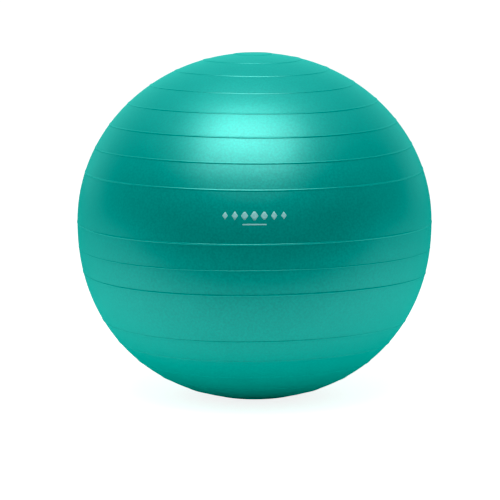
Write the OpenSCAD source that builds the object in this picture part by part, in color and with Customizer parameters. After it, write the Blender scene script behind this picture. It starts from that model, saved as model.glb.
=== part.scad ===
// Inflatable exercise ball: a ribbed, rotationally moulded skin, a valve seat
// bonded into its upper smooth band, and a push-in plug.
// The ball is shown inflated and at rest, slightly sagged under its own weight.
// Millimetres, +Z up. The origin is the centre of the flat patch that touches
// the floor. The valve is on the +Y side.

/* [Ball] */
// Largest width of the inflated ball
ball_w = 650; // [450:10:850]
// Rise of the top above the widest level, as a share of half the width
top_rise = 0.947; // [0.9:0.001:1]
// Drop of the full lower curve below the widest level, as a share of half the width
bottom_drop = 1.003; // [0.95:0.001:1.02]
// Fullness of the sagging lower half, where 2 is a plain ellipse
bottom_fullness = 2.155; // [2:0.005:2.3]
// Radius of the flat patch that rests on the floor
rest_r = 50; // [30:1:60]
// Thickness of the inflated skin
wall = 1; // [0.8:0.1:2]

/* [Ribs] */
// Arc from one rib to the next, in degrees of a circle as wide as the ball
rib_step = 8.02; // [7:0.01:8.2]
// Extra arc of the stretched upper skin, times the square of the rib's number
top_stretch = 0.092; // [0:0.001:0.12]
// The same for the lower skin
bottom_stretch = 0.08; // [0:0.001:0.12]
// Number of the rib left out above and below the parting line, for a smooth band
smooth_rib = 2; // [2:1:3]
// Width of a rib at its foot
rib_w = 3.2; // [3:0.1:6]
// Height of a rib
rib_h = 0.7; // [0.5:0.1:1.2]
// Arc from the widest level down to the parting line, in the same degrees
parting_arc = 8.04; // [4:0.01:10]
// Width of the thin raised parting line
parting_w = 1.6; // [1:0.1:3]
// Height of the parting line
parting_h = 0.4; // [0.2:0.1:1]

/* [Valve seat] */
// Bore that takes the plug, and the pump's nozzle when the plug is out
bore_d = 10; // [8:0.5:12]
// Width of the seat where it shows in the skin
seat_d = 26; // [24:0.5:30]
// Height of the seat's rim above the skin
seat_proud = 0.4; // [0.3:0.1:1]
// Width of the flange bonded to the inside of the skin
flange_d = 40; // [34:1:44]
// Thickness of the flange
flange_t = 1.8; // [1:0.1:3]
// Wall thickness of the tube round the bore
tube_wall = 3; // [2:0.1:4]
// Depth of the tube's inner end below the outside of the skin
tube_depth = 26; // [24:1:40]
// Width of the thickened pad in the skin that the flange is bonded to
pad_d = 46; // [45:1:60]
// Depth of the pad's inner face below the outside of the skin
pad_depth = 3; // [2.8:0.1:5]

/* [Plug] */
// Width of the plug's head
head_d = 18.6; // [16:0.1:20]
// Thickness of the head at its edge
head_t = 1.8; // [1.2:0.1:2.5]
// Extra height of the domed middle of the head
head_dome = 0.6; // [0.2:0.1:1]
// Length of the stem below the head
stem_l = 21; // [18:0.5:22]
// Depth of the sealing rings round the stem
ring_h = 1.1; // [0.6:0.1:1.5]
// Number of sealing rings
ring_count = 3; // [1:1:4]
// Gap between the sealing rings and the bore, on each side
ring_gap = 0.05; // [0.02:0.01:0.1]

/* [Hidden] */

half_w = ball_w / 2;
top_h = half_w * top_rise;
bottom_h = half_w * bottom_drop;
degree_arc = half_w * PI / 180; // arc of one degree of a circle as wide as the ball
profile_step = 1;               // step of the profile's angle in the arc table
band_step = 3 * degree_arc;     // longest straight piece of the profile
max_ribs = 14;                  // more than ever fit between the widest level and a pole

recess_d = head_d + 1.4;   // sunk circle in the seat that holds the plug's head
recess_depth = 1.6;        // depth of its floor below the outside of the skin
edge = 0.5;                // small chamfers
seat_rim = 1;              // least width of the seat's rim, beside the fingernail notch
notch_r = seat_d - recess_d - 2 * seat_rim;
core_d = bore_d - 2 * ring_gap - 2 * ring_h;
ring_pitch = 5;            // distance between the middles of neighbouring rings
ring_start = 4.5;          // distance from the head to the middle of the first ring
ring_flat = 1;             // width of a ring's cylindrical land
pocket_d = 4;              // moulded hollow up the middle of the stem
pocket_l = stem_l - 5;

ball_fn = 180;
valve_fn = 72;

// ---- The profile of the skin, a superellipse quarter above and one below ----

// Exponent and height of the half that the profile angle t lies in
function fullness(t) = t < 0 ? bottom_fullness : 2;
function half_h(t) = t < 0 ? bottom_h : top_h;

// Point [radius, height above the widest level] at profile angle t
function profile(t) =
    let (e = 2 / fullness(t), up = t < 0 ? -1 : 1)
    [half_w * pow(cos(t), e), up * half_h(t) * pow(abs(sin(t)), e)];

// Outward normal there
function profile_normal(t) =
    let (
        e = 2 - 2 / fullness(t),
        up = t < 0 ? -1 : 1,
        n = [pow(cos(t), e) / half_w, up * pow(abs(sin(t)), e) / half_h(t)]
    )
    n / norm(n);

// Pairs [angle, arc from the widest level], for one half; way is 1 up or -1 down
function arc_pairs(way) = [
    for (
        t = 0, arc = 0;
        t <= 90;
        arc = arc + norm(profile(way * min(t + profile_step, 90)) - profile(way * t)),
        t = t + profile_step
    ) [way * t, way * arc]
];

arc_by_angle = concat(arc_pairs(1), arc_pairs(-1));
angle_by_arc = [for (pair = arc_by_angle) [pair[1], pair[0]]];

function angle_at(arc) = lookup(arc, angle_by_arc);

// Point at a distance along the skin from the widest level, raised off it
function skin_point(arc, raise = 0) =
    profile(angle_at(arc)) + raise * profile_normal(angle_at(arc));

// The flat patch cuts the lower curve where its radius is rest_r
foot_angle = -acos(pow(rest_r / half_w, bottom_fullness / 2));
foot_arc = lookup(foot_angle, arc_by_angle);
foot_z = profile(foot_angle)[1];
top_arc = lookup(90, arc_by_angle);

// ---- Ribs, numbered up (+) and down (-) from the parting line, which is 0 ----

function rib_arc(k) =
    degree_arc * (rib_step * k - parting_arc
        + (k > 0 ? top_stretch : -bottom_stretch) * k * k);

// A rib fits when it stays short of the top pole and clear of the floor
function rib_fits(k) =
    rib_arc(k) + rib_w < top_arc
    && rib_arc(k) - rib_w > foot_arc
    && skin_point(rib_arc(k))[1] - rib_h > foot_z;

// Each bead is [arc of its middle, width, height], from the bottom to the top
beads = [
    for (k = [-max_ribs : max_ribs])
        if (k == 0) [rib_arc(0), parting_w, parting_h]
        else if (abs(k) != smooth_rib && rib_fits(k)) [rib_arc(k), rib_w, rib_h]
];

// Ends of the smooth skin between one bead and the next
function band_start(i) = i == 0 ? foot_arc : beads[i - 1][0] + beads[i - 1][1] / 2;
function band_end(i) = i == len(beads) ? top_arc : beads[i][0] - beads[i][1] / 2;

function band_arcs(i) =
    let (
        a = band_start(i),
        b = band_end(i),
        n = ceil((b - a) / band_step)
    )
    [for (j = [0 : n]) a + (b - a) * j / n];

// Points over the rounded back of a bead, between its two feet
function bead_points(bead) = [
    for (u = [-0.6, 0, 0.6])
        skin_point(bead[0] + u * bead[1] / 2, bead[2] * (1 - u * u))
];

outer_outline = concat(
    [[0, foot_z]],
    [
        for (i = [0 : len(beads)])
            each concat(
                [for (arc = band_arcs(i)) skin_point(arc)],
                i < len(beads) ? bead_points(beads[i]) : []
            )
    ]
);

inner_steps = ceil((top_arc - foot_arc) / band_step);
inner_outline = concat(
    [[0, foot_z + wall]],
    [
        for (j = [0 : inner_steps])
            skin_point(foot_arc + (top_arc - foot_arc) * j / inner_steps, -wall)
    ]
);

module lathe(outline) {
    translate([0, 0, -foot_z])
        rotate_extrude($fn = ball_fn)
            polygon(outline);
}

// ---- Valve frame: z runs outward along the plug, 0 is the outside of the skin ----

valve_arc = (rib_arc(smooth_rib - 1) + rib_arc(smooth_rib + 1)) / 2;
valve_point = skin_point(valve_arc);
valve_normal = profile_normal(angle_at(valve_arc));

module at_valve() {
    translate([0, valve_point[0], valve_point[1] - foot_z])
        rotate([-atan2(valve_normal[0], valve_normal[1]), 0, 0])
            children();
}

// A cylinder from depth z0 to height z1 in the valve frame
module disc(d, z0, z1) {
    translate([0, 0, z0])
        cylinder(d = d, h = z1 - z0, $fn = valve_fn);
}

// ---- Sub-parts ----

// Hollow skin, ribbed outside and smooth inside, with a hole for the valve seat.
// The cavity leaves a thickened flat pad behind the skin round that hole.
module ball_skin() {
    color([0.05, 0.60, 0.54])
        difference() {
            lathe(outer_outline);
            difference() {
                lathe(inner_outline);
                at_valve() disc(pad_d, -pad_depth, pad_depth);
            }
            at_valve() disc(seat_d, -2 * pad_depth, 2 * pad_depth);
        }
}

// Moulded seat: rim and recess outside, flange behind the skin, tube inside
module valve_insert() {
    r_bore = bore_d / 2;
    r_tube = r_bore + tube_wall;
    r_seat = seat_d / 2;
    r_recess = recess_d / 2;
    color([0.03, 0.46, 0.42])
        at_valve()
            difference() {
                rotate_extrude($fn = valve_fn)
                    polygon([
                        [r_bore, -tube_depth],
                        [r_tube - edge, -tube_depth],
                        [r_tube, -tube_depth + edge],
                        [r_tube, -pad_depth - flange_t],
                        [flange_d / 2, -pad_depth - flange_t],
                        [flange_d / 2, -pad_depth],
                        [r_seat, -pad_depth],
                        [r_seat, seat_proud - edge],
                        [r_seat - edge, seat_proud],
                        [r_recess + edge / 2, seat_proud],
                        [r_recess, seat_proud - edge / 2],
                        [r_recess, -recess_depth],
                        [r_bore + edge, -recess_depth],
                        [r_bore, -recess_depth - edge],
                    ]);
                translate([r_recess - notch_r / 2, 0, 0])
                    disc(2 * notch_r, -recess_depth, 2 * seat_proud);
            }
}

// Outline of one sealing ring, from its end near the head to its end near the tip
function ring_outline(i) =
    let (
        r_core = core_d / 2,
        r_ring = r_core + ring_h,
        z = -recess_depth - ring_start - i * ring_pitch,
        half = ring_flat / 2
    )
    [
        [r_core, z + half + ring_h],
        [r_ring, z + half],
        [r_ring, z - half],
        [r_core, z - half - ring_h],
    ];

// Push-in plug: domed head in the recess, hollow stem with sealing rings
module plug() {
    r_head = head_d / 2;
    z_seat = -recess_depth;
    z_tip = z_seat - stem_l;
    head_outline = [
        for (a = [0 : 15 : 90])
            [r_head * sin(a), z_seat + head_t + head_dome * cos(a)]
    ];
    stem_outline = [for (i = [0 : ring_count - 1]) each ring_outline(i)];
    color([0.93, 0.93, 0.91])
        at_valve()
            rotate_extrude($fn = valve_fn)
                polygon(concat(
                    head_outline,
                    [[r_head, z_seat], [core_d / 2, z_seat]],
                    stem_outline,
                    [
                        [core_d / 2, z_tip + edge],
                        [core_d / 2 - edge, z_tip],
                        [pocket_d / 2, z_tip],
                        [pocket_d / 2, z_tip + pocket_l],
                        [0, z_tip + pocket_l],
                    ]
                ));
}

ball_skin();
valve_insert();
plug();
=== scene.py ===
import math

import bpy
import numpy as np
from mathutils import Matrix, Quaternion, Vector


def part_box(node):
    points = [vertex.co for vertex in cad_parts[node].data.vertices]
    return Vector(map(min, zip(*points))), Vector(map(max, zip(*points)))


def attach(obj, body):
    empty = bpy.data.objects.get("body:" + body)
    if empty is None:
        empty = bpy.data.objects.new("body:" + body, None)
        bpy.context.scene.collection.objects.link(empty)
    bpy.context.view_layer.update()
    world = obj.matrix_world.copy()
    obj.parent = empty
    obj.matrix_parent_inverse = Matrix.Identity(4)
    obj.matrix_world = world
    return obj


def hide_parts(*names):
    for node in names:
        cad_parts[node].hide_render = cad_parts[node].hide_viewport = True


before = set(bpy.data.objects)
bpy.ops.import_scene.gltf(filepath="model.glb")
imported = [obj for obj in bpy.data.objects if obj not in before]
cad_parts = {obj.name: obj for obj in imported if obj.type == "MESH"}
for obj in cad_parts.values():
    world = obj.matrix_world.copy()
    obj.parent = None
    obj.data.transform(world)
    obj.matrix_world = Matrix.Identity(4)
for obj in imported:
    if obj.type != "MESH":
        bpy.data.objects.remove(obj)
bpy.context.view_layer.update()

# An inflated exercise ball: its ribbed satin vinyl skin, the valve seat and plug at
# the back, and a plain printed mark at the front. Metres, in the CAD frame.

MM = 0.001

# ---- The skin's profile: the same driving values as the CAD model ----

RIB_WIDTH = 3.2 * MM
RIB_HEIGHT = 0.7 * MM
TOP_RISE = 0.947
BOTTOM_DROP = 1.003
BOTTOM_FULLNESS = 2.155
REST_R = 50 * MM
WALL = 1.0 * MM
RIB_STEP = 8.02
TOP_STRETCH = 0.092
BOTTOM_STRETCH = 0.08
PARTING_ARC = 8.04
PARTING_WIDTH = 1.6 * MM
PARTING_HEIGHT = 0.4 * MM
SMOOTH_RIB = 2
PAD_R = 23 * MM
PAD_DEPTH = 3 * MM
SEAT_R = 13 * MM

ball_low, ball_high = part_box("ball_skin")
half_w = (ball_high.x - ball_low.x) / 2 - RIB_HEIGHT
degree_arc = half_w * math.pi / 180

# ---- How finely the skin is drawn, and what the plain CAD solid leaves out ----

COLUMNS = 288              # steps round the ball
OUTER_STEP = 12 * MM       # longest step along the outer wall
INNER_STEP = 20 * MM       # longest step along the inner wall
FOOT_ROW = 0.6 * MM        # from a rib's foot to the next ring of points
RIB_ROWS = 8               # steps over a rib
# The ribs wander a little, because the skin stretches unevenly: millimetres of the
# first and second harmonic round the ball, the other way below the middle
WANDER_SIN = 4.0 * MM
WANDER_SIN2 = -3.6 * MM
WANDER_COS2 = -1.4 * MM
WANDER_SWAP = 0.12         # height where they swap sides, above the widest level, in half widths
WANDER_SWAP_RATE = 3       # how quickly they do so
WANDER_POLE = 0.3          # radius inside which they fade out, in half widths
WANDER_FOOT = 60 * MM      # distance from the floor within which they fade out


def profile(angle):
    """Radius and height above the widest level, at a profile angle."""
    up = angle >= 0
    power = np.where(up, 1.0, 2 / BOTTOM_FULLNESS)
    height = half_w * np.where(up, TOP_RISE, -BOTTOM_DROP)
    radius = half_w * np.abs(np.cos(angle)) ** power
    return radius, height * np.abs(np.sin(angle)) ** power


def profile_normal(angle):
    """Outward normal of the profile, as its radial and upward parts."""
    up = angle >= 0
    power = np.where(up, 1.0, 2 - 2 / BOTTOM_FULLNESS)
    height = np.where(up, TOP_RISE, -BOTTOM_DROP)
    radial = np.abs(np.cos(angle)) ** power
    upward = np.abs(np.sin(angle)) ** power / height
    size = np.hypot(radial, upward)
    return radial / size, upward / size


# Arcs along the profile from the widest level, negative below it, for interpolation
ARC_ANGLES = np.linspace(-math.pi / 2, math.pi / 2, 7201)
ARC_RADII, ARC_HEIGHTS = profile(ARC_ANGLES)
arc_steps = np.hypot(np.diff(ARC_RADII), np.diff(ARC_HEIGHTS))
ARCS = np.concatenate([[0], np.cumsum(arc_steps)])
ARCS -= np.interp(0, ARC_ANGLES, ARCS)

foot_angle = -math.acos((REST_R / half_w) ** (BOTTOM_FULLNESS / 2))
foot_z = float(profile(np.array(foot_angle))[1])
foot_arc = float(np.interp(foot_angle, ARC_ANGLES, ARCS))
top_arc = float(ARCS[-1])


def skin_point(arc, turn, lift):
    """Point above arc, turned from the front (-Y) towards +X, lifted off the smooth skin."""
    angle = np.interp(arc, ARCS, ARC_ANGLES)
    radius, height = profile(angle)
    radial, upward = profile_normal(angle)
    radius = radius + lift * radial
    height = height + lift * upward - foot_z
    x, y, z = np.broadcast_arrays(radius * np.sin(turn), -radius * np.cos(turn), height)
    return np.stack((x, y, z), axis=-1)


def rib_arc(k):
    """Distance along the skin from the widest level to rib k, counted from the parting line."""
    stretch = TOP_STRETCH if k > 0 else -BOTTOM_STRETCH
    return degree_arc * (RIB_STEP * k - PARTING_ARC + stretch * k * k)


def rib_fits(k):
    """True for a rib that stays short of the top pole and clear of the floor."""
    arc = rib_arc(k)
    if not foot_arc + RIB_WIDTH < arc < top_arc - RIB_WIDTH:
        return False
    return skin_point(arc, 0, RIB_HEIGHT)[2] > 0


def wander(arc, turn):
    """Distance along the skin by which its rings leave their level."""
    angle = np.interp(arc, ARCS, ARC_ANGLES)
    radius, height = profile(angle)
    side = np.tanh(WANDER_SWAP_RATE * (height / half_w - WANDER_SWAP))
    fade = np.clip(radius / half_w / WANDER_POLE, 0, 1)
    fade = fade * np.clip((arc - foot_arc) / WANDER_FOOT, 0, 1)
    wave = (
        WANDER_SIN * np.sin(turn)
        + WANDER_SIN2 * np.sin(2 * turn)
        + WANDER_COS2 * np.cos(2 * turn)
    )
    return side * fade * wave


# ---- Mesh building ----


class Shell:
    """Points and faces of one mesh, gathered ring by ring."""

    def __init__(self):
        self.blocks = []
        self.count = 0
        self.faces = []

    def add(self, points):
        """Adds points of any grid shape and returns their numbers in the same shape."""
        points = np.asarray(points, float)
        shape = points.shape[:-1]
        self.blocks.append(points.reshape(-1, 3))
        numbers = self.count + np.arange(int(np.prod(shape))).reshape(shape)
        self.count += numbers.size
        return numbers

    def quads(self, a, b):
        """Faces between two closed rings, facing right of the step from a to b."""
        for i in range(len(a)):
            j = (i + 1) % len(a)
            self.faces.append((a[i], a[j], b[j], b[i]))

    def fan(self, ring, tip):
        """Triangles from a closed ring to one point."""
        for i in range(len(ring)):
            self.faces.append((ring[i], ring[(i + 1) % len(ring)], tip))

    def build(self, name):
        """The finished object, without the points that no face uses."""
        points = np.concatenate(self.blocks)
        used = np.zeros(len(points), bool)
        for face in self.faces:
            used[list(face)] = True
        number = np.cumsum(used) - 1
        faces = [[int(number[i]) for i in face] for face in self.faces]
        mesh = bpy.data.meshes.new(name)
        mesh.from_pydata(points[used].tolist(), [], faces)
        mesh.validate()
        mesh.polygons.foreach_set("use_smooth", [True] * len(mesh.polygons))
        piece = bpy.data.objects.new(name, mesh)
        bpy.context.scene.collection.objects.link(piece)
        return piece


# ---- Skin ----


def bead(u):
    """Height of a rounded bead across its width, u from -1 to 1."""
    return (1 - np.abs(u) ** 3) ** 2


def skin_bands():
    """The beads as (middle, width, height) and the bands between them as (start, end)."""
    beads = []
    for k in range(-14, 15):
        if k == 0:
            beads.append((rib_arc(0), PARTING_WIDTH, PARTING_HEIGHT))
        elif abs(k) != SMOOTH_RIB and rib_fits(k):
            beads.append((rib_arc(k), RIB_WIDTH, RIB_HEIGHT))
    starts = [foot_arc] + [middle + width / 2 for middle, width, _ in beads]
    ends = [middle - width / 2 for middle, width, _ in beads] + [top_arc]
    return beads, list(zip(starts, ends))


def even_arcs(start, end, longest):
    """Evenly spaced arcs from start to end, with steps no longer than longest."""
    return np.linspace(start, end, math.ceil((end - start) / longest) + 1)


def bead_rows(middle, width, height):
    """Rows over one bead as (arc, lift), without its two feet."""
    rows = np.linspace(-1, 1, RIB_ROWS + 1)[1:-1]
    return [(middle + u * width / 2, height * float(bead(u))) for u in rows]


beads, bands = skin_bands()
valve_arc = (rib_arc(SMOOTH_RIB - 1) + rib_arc(SMOOTH_RIB + 1)) / 2
valve_band = next(i for i, (start, end) in enumerate(bands) if start < valve_arc < end)

# The valve's frame: its point on the skin at the back, and unit steps across, up and out
valve_point = skin_point(valve_arc, math.pi, 0)
valve_out = skin_point(valve_arc, math.pi, 1) - valve_point
valve_across = np.array([-1.0, 0.0, 0.0])
valve_up = np.cross(valve_out, valve_across)
valve_radius = math.hypot(valve_point[0], valve_point[1])


def on_skin(across, up, lift):
    """Points of the skin at distances from the valve, lifted off it."""
    return skin_point(valve_arc + up, math.pi + across / valve_radius, lift)


def on_axis(across, up, height):
    """Points at distances from the valve's axis, at a height above the skin there."""
    return valve_point + across[:, None] * valve_across + up[:, None] * valve_up + height * valve_out


def valve_circle(count, radius):
    """Distances across and up of points on a circle round the valve, from its low left."""
    around = -3 * math.pi / 4 + np.arange(count) * 2 * math.pi / count
    return radius * np.cos(around), radius * np.sin(around)


class Wall:
    """One wall of the skin: rings of points from the floor to the top, with a square gap
    round the valve."""

    def __init__(self, shell, rows, gap_rows, turns, outward):
        arcs = np.array([arc for arc, _ in rows[:-1]])[:, None]
        lifts = np.array([lift for _, lift in rows[:-1]])[:, None]
        self.arcs = arcs + wander(arcs, turns)
        self.turns = turns
        self.grid = shell.add(skin_point(self.arcs, turns, lifts))
        self.shell = shell
        self.outward = outward
        low, high = gap_rows
        columns = high - low
        left = (COLUMNS - columns) // 2
        self.low, self.high, self.left, self.right = low, high, left, left + columns
        self.add_bands()
        self.add_top(rows[-1][1])
        self.add_foot(0 if outward else WALL)

    def in_gap(self, row, column):
        return self.low <= row < self.high and self.left <= column < self.right

    def add_bands(self):
        """Quads between neighbouring rings, apart from the gap."""
        grid = self.grid
        for r in range(len(grid) - 1):
            for c in range(COLUMNS):
                if self.in_gap(r, c):
                    continue
                d = (c + 1) % COLUMNS
                quad = (grid[r, c], grid[r, d], grid[r + 1, d], grid[r + 1, c])
                self.shell.faces.append(quad if self.outward else quad[::-1])

    def add_top(self, lift):
        """Triangles from the last ring to the top pole."""
        tip = int(self.shell.add(skin_point(np.array([top_arc]), 0, lift))[0])
        ring = self.grid[-1]
        self.shell.fan(ring if self.outward else ring[::-1], tip)

    def add_foot(self, height):
        """The flat patch that the ball rests on."""
        last = self.grid[0]
        for share in (0.97, 0.6, 0.25):
            x = REST_R * share * np.sin(self.turns)
            y = -REST_R * share * np.cos(self.turns)
            ring = self.shell.add(np.stack([x, y, np.full(COLUMNS, height)], -1))
            self.shell.quads(*((ring, last) if self.outward else (last, ring)))
            last = ring
        tip = int(self.shell.add([[0, 0, height]])[0])
        self.shell.fan(last[::-1] if self.outward else last, tip)

    def gap_ring(self):
        """Point numbers round the gap from its low left corner, and where they lie from the valve."""
        low, high, left, right = self.low, self.high, self.left, self.right
        loop = [(low, c) for c in range(left, right)]
        loop += [(r, right) for r in range(low, high)]
        loop += [(high, c) for c in range(right, left, -1)]
        loop += [(r, left) for r in range(high, low, -1)]
        rows, columns = np.array(loop).T
        across = (self.turns[columns] - math.pi) * valve_radius
        return self.grid[rows, columns], across, self.arcs[rows, columns] - valve_arc


def make_skin():
    """Closed hollow skin: outer and inner wall, joined round the valve hole."""
    shell = Shell()
    turns = np.arange(COLUMNS) * 2 * math.pi / COLUMNS
    outer_rows = []
    for i, (start, end) in enumerate(bands):
        # a ring close to each foot of a bead keeps the bead's shading off the band
        band = even_arcs(start + FOOT_ROW, end - FOOT_ROW, OUTER_STEP)
        if i == valve_band:
            valve_arcs = band
            first_outer = len(outer_rows) + 1
        outer_rows += [(arc, 0) for arc in (start, *band, end)]
        if i < len(beads):
            outer_rows += bead_rows(*beads[i])
    below = even_arcs(foot_arc, valve_arcs[0], INNER_STEP)[:-1]
    above = even_arcs(valve_arcs[-1], top_arc, INNER_STEP)[1:]
    inner_rows = [(arc, -WALL) for arc in (*below, *valve_arcs, *above)]
    # the gap leaves out the outermost step of the valve's band on each side
    gap = np.array([1, len(valve_arcs) - 2])
    outer = Wall(shell, outer_rows, gap + first_outer, turns, True)
    inner = Wall(shell, inner_rows, gap + len(below), turns, False)
    join_valve_hole(shell, outer, inner)
    return shell.build("ball_skin_ribbed")


HOLE_R = SEAT_R + 0.08 * MM
HOLE_EDGE = 0.5 * MM
SPREAD_STEPS = 6


def join_valve_hole(shell, outer, inner):
    """Rings from the outer wall's gap, over the hole's rounded edge and the pad behind
    it, to the inner wall's gap."""
    ring, across, up = outer.gap_ring()
    count = len(ring)
    rings = [ring]
    edge_across, edge_up = valve_circle(count, HOLE_R + HOLE_EDGE)
    for i in range(1, SPREAD_STEPS + 1):
        share = i / SPREAD_STEPS
        spread = across + (edge_across - across) * share, up + (edge_up - up) * share
        rings.append(shell.add(on_skin(*spread, 0)))
    for angle in np.radians((30, 60, 90)):
        circle = valve_circle(count, HOLE_R + HOLE_EDGE * (1 - math.sin(angle)))
        rings.append(shell.add(on_skin(*circle, -HOLE_EDGE * (1 - math.cos(angle)))))
    rings.append(shell.add(on_axis(*valve_circle(count, HOLE_R), -PAD_DEPTH)))
    rings.append(shell.add(on_axis(*valve_circle(count, PAD_R), -PAD_DEPTH)))
    pad_across, pad_up = valve_circle(count, PAD_R)
    last, across, up = inner.gap_ring()
    for share in (0, 0.3, 0.65):
        spread = pad_across + (across - pad_across) * share, pad_up + (up - pad_up) * share
        rings.append(shell.add(on_skin(*spread, -WALL)))
    rings.append(last)
    for a, b in zip(rings, rings[1:]):
        shell.quads(a, b)


# ---- Valve seat and plug: turned shapes along the valve's axis ----

BORE_R = 5 * MM
TUBE_R = 8 * MM
TUBE_DEPTH = 26 * MM
FLANGE_R = 20 * MM
FLANGE_THICK = 1.8 * MM
SEAT_PROUD = 0.4 * MM
HEAD_R = 9.3 * MM
HEAD_THICK = 1.8 * MM
HEAD_DOME = 0.6 * MM
RECESS_R = HEAD_R + 0.7 * MM
RECESS_DEPTH = 1.6 * MM
NOTCH_R = 4 * MM
NOTCH_OUT = RECESS_R - NOTCH_R / 2   # the notch's middle, from the valve's axis
STEM_LENGTH = 21 * MM
RING_HEIGHT = 1.1 * MM
RING_R = BORE_R - 0.05 * MM
RING_COUNT = 3
RING_PITCH = 5 * MM
RING_START = 4.5 * MM
RING_FLAT = 1 * MM
POCKET_R = 2 * MM
POCKET_LENGTH = STEM_LENGTH - 5 * MM
SEAT_ROUNDING = 0.5 * MM
PLUG_ROUNDING = 0.4 * MM
TURN_STEPS = 144


def rounded(outline, radius, steps=4):
    """The outline with each inner corner replaced by an arc of at most that radius."""
    points = [np.array(p, float) for p in outline]
    result = [points[0]]
    for before, corner, after in zip(points, points[1:], points[2:]):
        back, ahead = before - corner, after - corner
        back_length, ahead_length = np.linalg.norm(back), np.linalg.norm(ahead)
        back, ahead = back / back_length, ahead / ahead_length
        half = math.acos(float(np.clip(back @ ahead, -1, 1))) / 2
        reach = min(radius / math.tan(half), 0.45 * back_length, 0.45 * ahead_length)
        for s in np.linspace(0, 1, steps + 1):
            weights = (1 - s) ** 2, 2 * s * (1 - s), s * s
            start, end = corner + back * reach, corner + ahead * reach
            result.append(weights[0] * start + weights[1] * corner + weights[2] * end)
    result.append(points[-1])
    return result


def turned(name, outline_at):
    """A shape turned round the valve's axis. outline_at gives the (radius, height) points
    at an angle, from the outside inwards; an outline may start and end on the axis."""
    shell = Shell()
    around = np.arange(TURN_STEPS) * 2 * math.pi / TURN_STEPS
    outlines = np.array([outline_at(angle) for angle in around])
    on_its_axis = outlines[0, 0, 0] == 0
    rings = []
    for place in range(int(on_its_axis), outlines.shape[1] - int(on_its_axis)):
        radius, height = outlines[:, place, 0], outlines[:, place, 1]
        points = on_axis(radius * np.cos(around), radius * np.sin(around), height[:, None])
        rings.append(shell.add(points))
    for a, b in zip(rings, rings[1:]):
        shell.quads(b, a)
    if on_its_axis:
        ends = shell.add([valve_point + outlines[0, i, 1] * valve_out for i in (0, -1)])
        shell.fan(rings[0], int(ends[0]))
        shell.fan(rings[-1][::-1], int(ends[1]))
    else:
        shell.quads(rings[0], rings[-1])
    return shell.build(name)


def recess_reach(angle):
    """Radius of the recess at an angle, wider where the fingernail notch opens it."""
    sideways = NOTCH_OUT * math.sin(angle)
    if math.cos(angle) < 0 or abs(sideways) > NOTCH_R:
        return RECESS_R
    return max(RECESS_R, NOTCH_OUT * math.cos(angle) + math.sqrt(NOTCH_R**2 - sideways**2))


def make_seat():
    """Valve seat: rim and recess outside, flange behind the skin, tube inside."""

    def outline(angle):
        recess_r = recess_reach(angle)
        points = [
            (BORE_R, -RECESS_DEPTH - 4 * MM),
            (BORE_R, -RECESS_DEPTH),
            (recess_r, -RECESS_DEPTH),
            (recess_r, SEAT_PROUD),
            (SEAT_R, SEAT_PROUD),
            (SEAT_R, -PAD_DEPTH),
            (FLANGE_R, -PAD_DEPTH),
            (FLANGE_R, -PAD_DEPTH - FLANGE_THICK),
            (TUBE_R, -PAD_DEPTH - FLANGE_THICK),
            (TUBE_R, -TUBE_DEPTH),
            (BORE_R, -TUBE_DEPTH),
            (BORE_R, -TUBE_DEPTH + 4 * MM),
        ]
        return rounded(points, SEAT_ROUNDING)

    return turned("valve_seat", outline)


def make_plug():
    """Push-in plug: domed head, stem with rounded sealing rings, moulded hollow."""
    seat_z = -RECESS_DEPTH
    tip_z = seat_z - STEM_LENGTH
    core_r = RING_R - RING_HEIGHT
    points = []
    for angle in np.radians((0, 15, 30, 45, 60, 75, 90)):
        points.append((HEAD_R * math.sin(angle), seat_z + HEAD_THICK + HEAD_DOME * math.cos(angle)))
    points += [(HEAD_R, seat_z), (core_r, seat_z)]
    for i in range(RING_COUNT):
        middle = seat_z - RING_START - i * RING_PITCH
        points += [
            (core_r, middle + RING_FLAT / 2 + RING_HEIGHT),
            (RING_R, middle + RING_FLAT / 2),
            (RING_R, middle - RING_FLAT / 2),
            (core_r, middle - RING_FLAT / 2 - RING_HEIGHT),
        ]
    points += [
        (core_r, tip_z),
        (POCKET_R, tip_z),
        (POCKET_R, tip_z + POCKET_LENGTH),
        (0, tip_z + POCKET_LENGTH),
    ]
    outline = rounded(points, PLUG_ROUNDING)
    return turned("valve_plug", lambda angle: outline)


# ---- Printed mark: thin films that follow the skin ----

MARK_LIFT = 0.10 * MM
MARK_SINK = 0.05 * MM
MARK_STEP = 2.0 * MM
MARK_ROWS = 4
HAIRLINE = 0.04 * MM       # least height of a film, at its pointed ends

LOZENGES = 7
LOZENGE_PITCH = 17 * MM
LOZENGE_WIDTH = 14 * MM
LOZENGE_HEIGHT = 20 * MM   # of the middle one
LOZENGE_SHRINK = 0.1       # share of that size lost from one to the next outwards
LOZENGE_MIDDLE = 3 * MM    # heights of the shapes above the middle of the smooth band
BAR_MIDDLE = -12 * MM
BAR_REACH = 21 * MM
BAR_HEIGHT = 2.4 * MM


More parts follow.
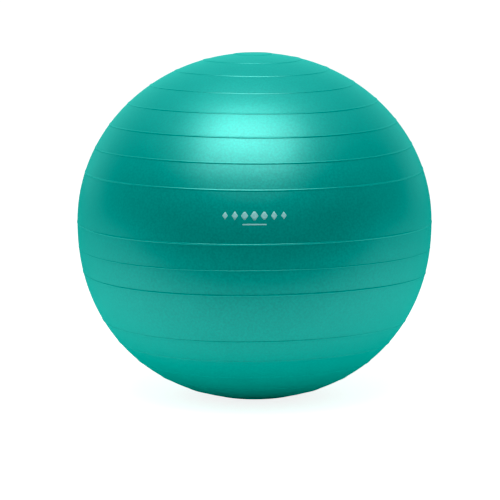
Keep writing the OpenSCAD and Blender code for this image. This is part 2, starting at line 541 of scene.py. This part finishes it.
def film(shell, left, right, middle, half):
    """One printed shape from left to right; half gives half its height at a distance
    across, and middle is its height above the middle of the smooth band."""
    columns = max(6, math.ceil((right - left) / MARK_STEP))
    across = left + (right - left) * (1 - np.cos(np.linspace(0, math.pi, columns + 1))) / 2
    up = middle + half(across) * np.linspace(-1, 1, MARK_ROWS + 1)[:, None]
    across = np.broadcast_to(across, up.shape)
    top, base = (
        shell.add(skin_point(valve_arc + up, across / valve_radius, lift))
        for lift in (MARK_LIFT, -MARK_SINK)
    )
    for r in range(MARK_ROWS):
        for c in range(columns):
            shell.faces.append((top[r, c], top[r, c + 1], top[r + 1, c + 1], top[r + 1, c]))
            shell.faces.append((base[r + 1, c], base[r + 1, c + 1], base[r, c + 1], base[r, c]))
    rim = [(0, c) for c in range(columns)]
    rim += [(r, columns) for r in range(MARK_ROWS)]
    rim += [(MARK_ROWS, c) for c in range(columns, 0, -1)]
    rim += [(r, 0) for r in range(MARK_ROWS, 0, -1)]
    shell.quads([base[p] for p in rim], [top[p] for p in rim])


def lozenge(shell, centre, reach, height):
    """A printed lozenge."""

    def half(across):
        return np.maximum(height / 2 * (1 - np.abs(across - centre) / reach), HAIRLINE / 2)

    film(shell, centre - reach, centre + reach, LOZENGE_MIDDLE, half)


def bar(shell, reach, height):
    """A printed bar with round ends, centred on the front."""
    radius = height / 2

    def half(across):
        inset = np.clip(np.abs(across) - (reach - radius), 0, radius)
        return np.sqrt(np.maximum(radius**2 - inset**2, (HAIRLINE / 2) ** 2))

    film(shell, -reach, reach, BAR_MIDDLE, half)


def make_mark():
    """A plain mark without letters: a row of lozenges, largest in the middle, over a bar."""
    shell = Shell()
    for i in range(LOZENGES):
        from_middle = i - (LOZENGES - 1) / 2
        size = 1 - LOZENGE_SHRINK * abs(from_middle)
        lozenge(shell, from_middle * LOZENGE_PITCH, size * LOZENGE_WIDTH / 2, size * LOZENGE_HEIGHT)
    bar(shell, BAR_REACH, BAR_HEIGHT)
    return shell.build("printed_mark")


# ---- Materials ----


class Nodes:
    """Short calls for building a node tree round one Principled shader."""

    def __init__(self, name):
        self.material = bpy.data.materials.new(name)
        self.material.use_nodes = True
        self.tree = self.material.node_tree
        self.tree.nodes.clear()
        self.shader = self.tree.nodes.new("ShaderNodeBsdfPrincipled")
        output = self.tree.nodes.new("ShaderNodeOutputMaterial")
        self.tree.links.new(self.shader.outputs[0], output.inputs["Surface"])
        self.place = self.tree.nodes.new("ShaderNodeTexCoord").outputs["Object"]

    def feed(self, target, value):
        """Links an input to a socket, or sets it to a number or colour."""
        if isinstance(value, bpy.types.NodeSocket):
            self.tree.links.new(value, target)
        else:
            target.default_value = value

    def set(self, socket, value):
        """Feeds an input of the shader, found by its name."""
        self.feed(self.shader.inputs[socket], value)

    def noise(self, size, detail=2.0):
        """Noise from 0 to 1 whose features are about size metres."""
        node = self.tree.nodes.new("ShaderNodeTexNoise")
        node.inputs["Scale"].default_value = 1 / size
        node.inputs["Detail"].default_value = detail
        self.tree.links.new(self.place, node.inputs["Vector"])
        return node.outputs["Fac"]

    def remap(self, value, low, high, to_low, to_high):
        """Maps low..high to to_low..to_high, clamped."""
        node = self.tree.nodes.new("ShaderNodeMapRange")
        sockets = ("Value", "From Min", "From Max", "To Min", "To Max")
        for socket, number in zip(sockets, (value, low, high, to_low, to_high)):
            self.feed(node.inputs[socket], number)
        return node.outputs["Result"]

    def mix(self, share, a, b):
        """Colour a at share 0, colour b at share 1."""
        node = self.tree.nodes.new("ShaderNodeMix")
        node.data_type = "RGBA"
        # a Mix node's sockets for colours come after those for numbers and vectors
        self.feed(node.inputs["Factor"], share)
        self.feed(node.inputs[6], a)
        self.feed(node.inputs[7], b)
        return node.outputs[2]

    def math(self, operation, a, b):
        node = self.tree.nodes.new("ShaderNodeMath")
        node.operation = operation
        self.feed(node.inputs[0], a)
        self.feed(node.inputs[1], b)
        return node.outputs[0]

    def facing(self):
        """1 where the surface faces the viewer, 0 at its edge."""
        node = self.tree.nodes.new("ShaderNodeLayerWeight")
        node.inputs["Blend"].default_value = 0.5
        return self.math("SUBTRACT", 1.0, node.outputs["Facing"])

    def crease(self, depth):
        """1 in hollow corners of the mesh, 0 where it is flat or bulges."""
        pointiness = self.tree.nodes.new("ShaderNodeNewGeometry").outputs["Pointiness"]
        return self.remap(pointiness, 0.5 - depth, 0.5, 1, 0)

    def camera_ray(self):
        """1 for what the camera sees directly, 0 for what lights or mirrors in the object."""
        return self.tree.nodes.new("ShaderNodeLightPath").outputs["Is Camera Ray"]

    def distance(self):
        """Distance from the origin."""
        node = self.tree.nodes.new("ShaderNodeVectorMath")
        node.operation = "LENGTH"
        self.tree.links.new(self.place, node.inputs[0])
        return node.outputs["Value"]

    def along_y(self):
        """The Y coordinate."""
        node = self.tree.nodes.new("ShaderNodeSeparateXYZ")
        self.tree.links.new(self.place, node.inputs[0])
        return node.outputs["Y"]

    def bump(self, *layers):
        """Adds bump layers of (height, depth in metres)."""
        normal = None
        for height, depth in layers:
            node = self.tree.nodes.new("ShaderNodeBump")
            node.inputs["Distance"].default_value = depth
            self.tree.links.new(height, node.inputs["Height"])
            if normal is not None:
                self.tree.links.new(normal, node.inputs["Normal"])
            normal = node.outputs["Normal"]
        self.set("Normal", normal)


PIGMENT = (0.012, 0.52, 0.452)
PAINTED_RIM_SHEEN = (0.078, 0.94, 0.82)       # painted rim sheen: the colour the skin is painted towards at grazing views, for the bright room mirrored there
PEARL = 0.5                         # share of its light that the pigment mirrors
PEARL_EDGE = (0.12, 0.85, 0.76, 1)  # tint of that mirroring at grazing views
PAINTED_CREASE_SHADE = 0.6                  # share of the pigment's colour left in the foot of a rib: painted shade in that hollow
GLOSS = 1.0                         # weight of the clear gloss where the skin faces the viewer


def shade(colour, share):
    """The colour made darker or lighter, as RGBA."""
    return tuple(min(1, c * share) for c in colour) + (1,)


def vinyl_material(name, depth=1.0):
    """Satin vinyl: pearly pigment with a fine grain and cloudy wall thickness, with painted
    shade in the hollow feet of the ribs. At grazing views the colour is painted paler, a
    painted rim sheen, and the gloss fades. A depth below 1 gives a darker colour."""
    m = Nodes(name)
    pigment = tuple(c * depth for c in PIGMENT)
    cloud = m.noise(0.2, detail=2)
    speckle = m.noise(0.0035, detail=2)
    colour = m.mix(m.remap(cloud, 0.3, 0.7, 0, 1), shade(pigment, 0.94), shade(pigment, 1.0))
    colour = m.mix(m.remap(speckle, 0.35, 0.65, 0, 1), colour, shade(pigment, 1.18))
    # painted shade in the hollow feet of the ribs
    colour = m.mix(m.crease(0.04), colour, shade(pigment, PAINTED_CREASE_SHADE))
    # painted rim sheen: the colour pales towards the skin's edge as seen
    m.set("Base Color", m.mix(m.facing(), shade(PAINTED_RIM_SHEEN, depth), colour))
    m.set("Metallic", PEARL)
    m.set("Specular IOR Level", 0.0)
    m.set("Specular Tint", PEARL_EDGE)
    m.set("Roughness", m.remap(m.noise(0.04, detail=4), 0.3, 0.7, 0.40, 0.46))
    m.set("Coat Weight", m.math("MULTIPLY", m.facing(), GLOSS))
    m.set("Coat Roughness", 0.38)
    m.set("Coat IOR", 1.7)
    grain = m.noise(0.0034, detail=2)
    orange_peel = m.noise(0.009, detail=1)
    m.bump((orange_peel, 0.00005), (grain, 0.00014))
    return m.material


def plug_material():
    """White moulded polythene, faintly uneven and translucent."""
    m = Nodes("plug_polythene")
    cloud = m.noise(0.006, detail=2)
    m.set("Base Color", m.mix(cloud, (0.78, 0.79, 0.77, 1), (0.86, 0.86, 0.83, 1)))
    m.set("Roughness", m.remap(m.noise(0.0015), 0.3, 0.7, 0.32, 0.46))
    m.set("Subsurface Weight", 0.25)
    m.set("Subsurface Radius", (0.004, 0.004, 0.004))
    m.set("Subsurface Scale", 1.0)
    m.bump((m.noise(0.0008), 0.00002))
    return m.material


def ink_material():
    """Pale blue-grey screen print, thinner in places."""
    m = Nodes("pale_ink")
    thin = m.remap(m.noise(0.004, detail=3), 0.35, 0.65, 0, 1)
    m.set("Base Color", m.mix(thin, (0.42, 0.92, 0.92, 1), (0.52, 1.0, 1.0, 1)))
    m.set("Roughness", m.remap(m.noise(0.002), 0.3, 0.7, 0.38, 0.5))
    m.bump((m.noise(0.0007), 0.00002))
    return m.material


# ---- Studio ----

# The room's light, as lobes of (direction, narrowness, radiance): a bright wall behind
# the ball, a soft ceiling, dim side walls, a panel behind the ball on each side, which
# brightens its rims, and a faint front light above the camera.
LIGHT_LOBES = (
    ((0, 1, 0), 8, 0.95),
    ((0, 0, 1), 2, 0.385),
    ((1, 0, 0), 2, 0.075),
    ((-1, 0, 0), 2, 0.075),
    ((0.6, 0.8, 0), 12, 0.5),
    ((-0.6, 0.8, 0), 12, 0.5),
    ((0, -0.87, 0.5), 8, 0.24),
)
# Softboxes above the ball's front, as (place, size, watts): a wide one and a small bright one
SOFTBOXES = (
    ((-0.14, -1.0, 2.35), (2.1, 1.6), 25.5),
    ((-0.3, -0.75, 2.4), (1.1, 0.8), 2.3),
)
# The ball stands on pale paper that runs back to the bright wall; the floor in front of
# the paper is dark. The camera itself sees white everywhere.
PAPER_EDGE = (-1.3, -0.4)           # y between which the dark floor gives way to the paper
PAPER_SHADE = 0.93
PAPER_TINT = (0.81, 0.93, 0.92, 1)  # its shade, with the ball's colour thrown back on it
FLOOR_SHADE = 0.08
PAPER_GLOW = 0.15                   # light that the paper adds, as if lit from the sides
GLOW_SHADE = (0.11, 0.6)            # distances between which it leaves the ball's shade
CAMERA_GLOW = 0.85                  # the glow that only the camera sees
FLOOR_REACH = 60
FLOOR_Z = -0.2 * MM
FILM_BLACK = (0.025, 0, 0)          # black levels of the camera's red, green and blue

CAMERA_ELEVATION = math.radians(7.67)
CAMERA_DISTANCE = 16.0      # in half widths of the ball
CAMERA_LENS = 203.7         # mm, like the sensor's width
SENSOR_WIDTH = 36
AIM_DOWN = 0.168            # the aim lies below the widest level, in half widths
AIM_LEFT = 0.026            # and to the left of its middle
CAMERA_ROLL = math.radians(-0.24)


def make_camera():
    """Long lens in front of the ball, a little above it."""
    centre = Vector((0, 0, -foot_z))
    back = Vector((0, -math.cos(CAMERA_ELEVATION), math.sin(CAMERA_ELEVATION)))
    up = Vector((0, math.sin(CAMERA_ELEVATION), math.cos(CAMERA_ELEVATION)))
    place = centre + back * CAMERA_DISTANCE * half_w
    aim = centre - up * AIM_DOWN * half_w - Vector((AIM_LEFT * half_w, 0, 0))
    data = bpy.data.cameras.new("camera")
    data.sensor_width = SENSOR_WIDTH
    data.lens = CAMERA_LENS
    data.clip_end = 200
    camera = bpy.data.objects.new("camera", data)
    camera.rotation_mode = "QUATERNION"
    camera.location = place
    roll = Quaternion((0, 0, 1), CAMERA_ROLL)
    camera.rotation_quaternion = (aim - place).to_track_quat("-Z", "Y") @ roll
    bpy.context.scene.collection.objects.link(camera)
    bpy.context.scene.camera = camera


def area_light(name, place, aim, size, power):
    """A soft rectangular white light that the camera doesn't see."""
    data = bpy.data.lights.new(name, "AREA")
    data.shape = "RECTANGLE"
    data.size, data.size_y = size
    data.energy = power
    light = bpy.data.objects.new(name, data)
    light.location = place
    light.rotation_mode = "QUATERNION"
    light.rotation_quaternion = (Vector(aim) - Vector(place)).to_track_quat("-Z", "Y")
    light.visible_camera = False
    bpy.context.scene.collection.objects.link(light)


def make_world():
    """Plain white to the camera; the light lobes to everything else."""
    world = bpy.data.worlds.new("studio")
    bpy.context.scene.world = world
    world.use_nodes = True
    tree = world.node_tree
    tree.nodes.clear()
    link = tree.links.new
    direction = tree.nodes.new("ShaderNodeTexCoord").outputs["Generated"]

    def math_node(operation, a, b):
        node = tree.nodes.new("ShaderNodeMath")
        node.operation = operation
        for socket, value in zip(node.inputs, (a, b)):
            if isinstance(value, bpy.types.NodeSocket):
                link(value, socket)
            else:
                socket.default_value = value
        return node.outputs[0]

    total = 0.0
    for axis, narrowness, radiance in LIGHT_LOBES:
        along = tree.nodes.new("ShaderNodeVectorMath")
        along.operation = "DOT_PRODUCT"
        link(direction, along.inputs[0])
        along.inputs[1].default_value = axis
        lobe = math_node("POWER", math_node("MAXIMUM", along.outputs["Value"], 0.0), narrowness)
        total = math_node("ADD", math_node("MULTIPLY", lobe, radiance), total)

    camera_ray = tree.nodes.new("ShaderNodeLightPath").outputs["Is Camera Ray"]
    background = tree.nodes.new("ShaderNodeBackground")
    background.inputs["Color"].default_value = (1, 1, 1, 1)
    link(math_node("MAXIMUM", total, camera_ray), background.inputs["Strength"])
    link(background.outputs[0], tree.nodes.new("ShaderNodeOutputWorld").inputs["Surface"])


def make_floor():
    """A large plain pale floor."""
    shell = Shell()
    corners = ((-1, -1), (1, -1), (1, 1), (-1, 1))
    points = shell.add([(x * FLOOR_REACH, y * FLOOR_REACH, FLOOR_Z) for x, y in corners])
    shell.faces.append(tuple(points))
    floor = shell.build("floor")
    m = Nodes("floor_paint")
    paper = m.remap(m.along_y(), *PAPER_EDGE, 0, 1)
    tinted = m.mix(paper, shade((1, 1, 1), FLOOR_SHADE), PAPER_TINT)
    glow = m.math("MULTIPLY", paper, m.remap(m.distance(), *GLOW_SHADE, 0, PAPER_GLOW))
    camera_ray = m.camera_ray()
    m.set("Base Color", m.mix(camera_ray, tinted, shade((1, 1, 1), PAPER_SHADE)))
    m.set("Emission Color", m.mix(camera_ray, PAPER_TINT, (1, 1, 1, 1)))
    m.set("Emission Strength", m.math("MAXIMUM", glow, m.math("MULTIPLY", camera_ray, CAMERA_GLOW)))
    m.set("Roughness", 0.8)
    m.set("Specular IOR Level", 0.0)
    floor.data.materials.append(m.material)


def set_film():
    """Straight tones, with the black level of each channel."""
    film = bpy.context.scene.view_settings
    film.view_transform = "Standard"
    film.use_curve_mapping = True
    film.curve_mapping.black_level = FILM_BLACK
    film.curve_mapping.update()


# ---- Assembly ----

skin = make_skin()
skin.data.materials.append(vinyl_material("teal_vinyl"))
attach(skin, "ball")
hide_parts("ball_skin")

seat = make_seat()
seat.data.materials.append(vinyl_material("teal_vinyl_seat", 0.8))
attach(seat, "ball")
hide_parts("valve_insert")

plug = make_plug()
plug.data.materials.append(plug_material())
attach(plug, "plug")
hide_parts("plug")

mark = make_mark()
mark.data.materials.append(ink_material())
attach(mark, "ball")

make_floor()
make_world()
ball_middle = (0, 0, -foot_z)
for place, size, watts in SOFTBOXES:
    area_light("softbox", place, ball_middle, size, watts)
make_camera()
set_film()
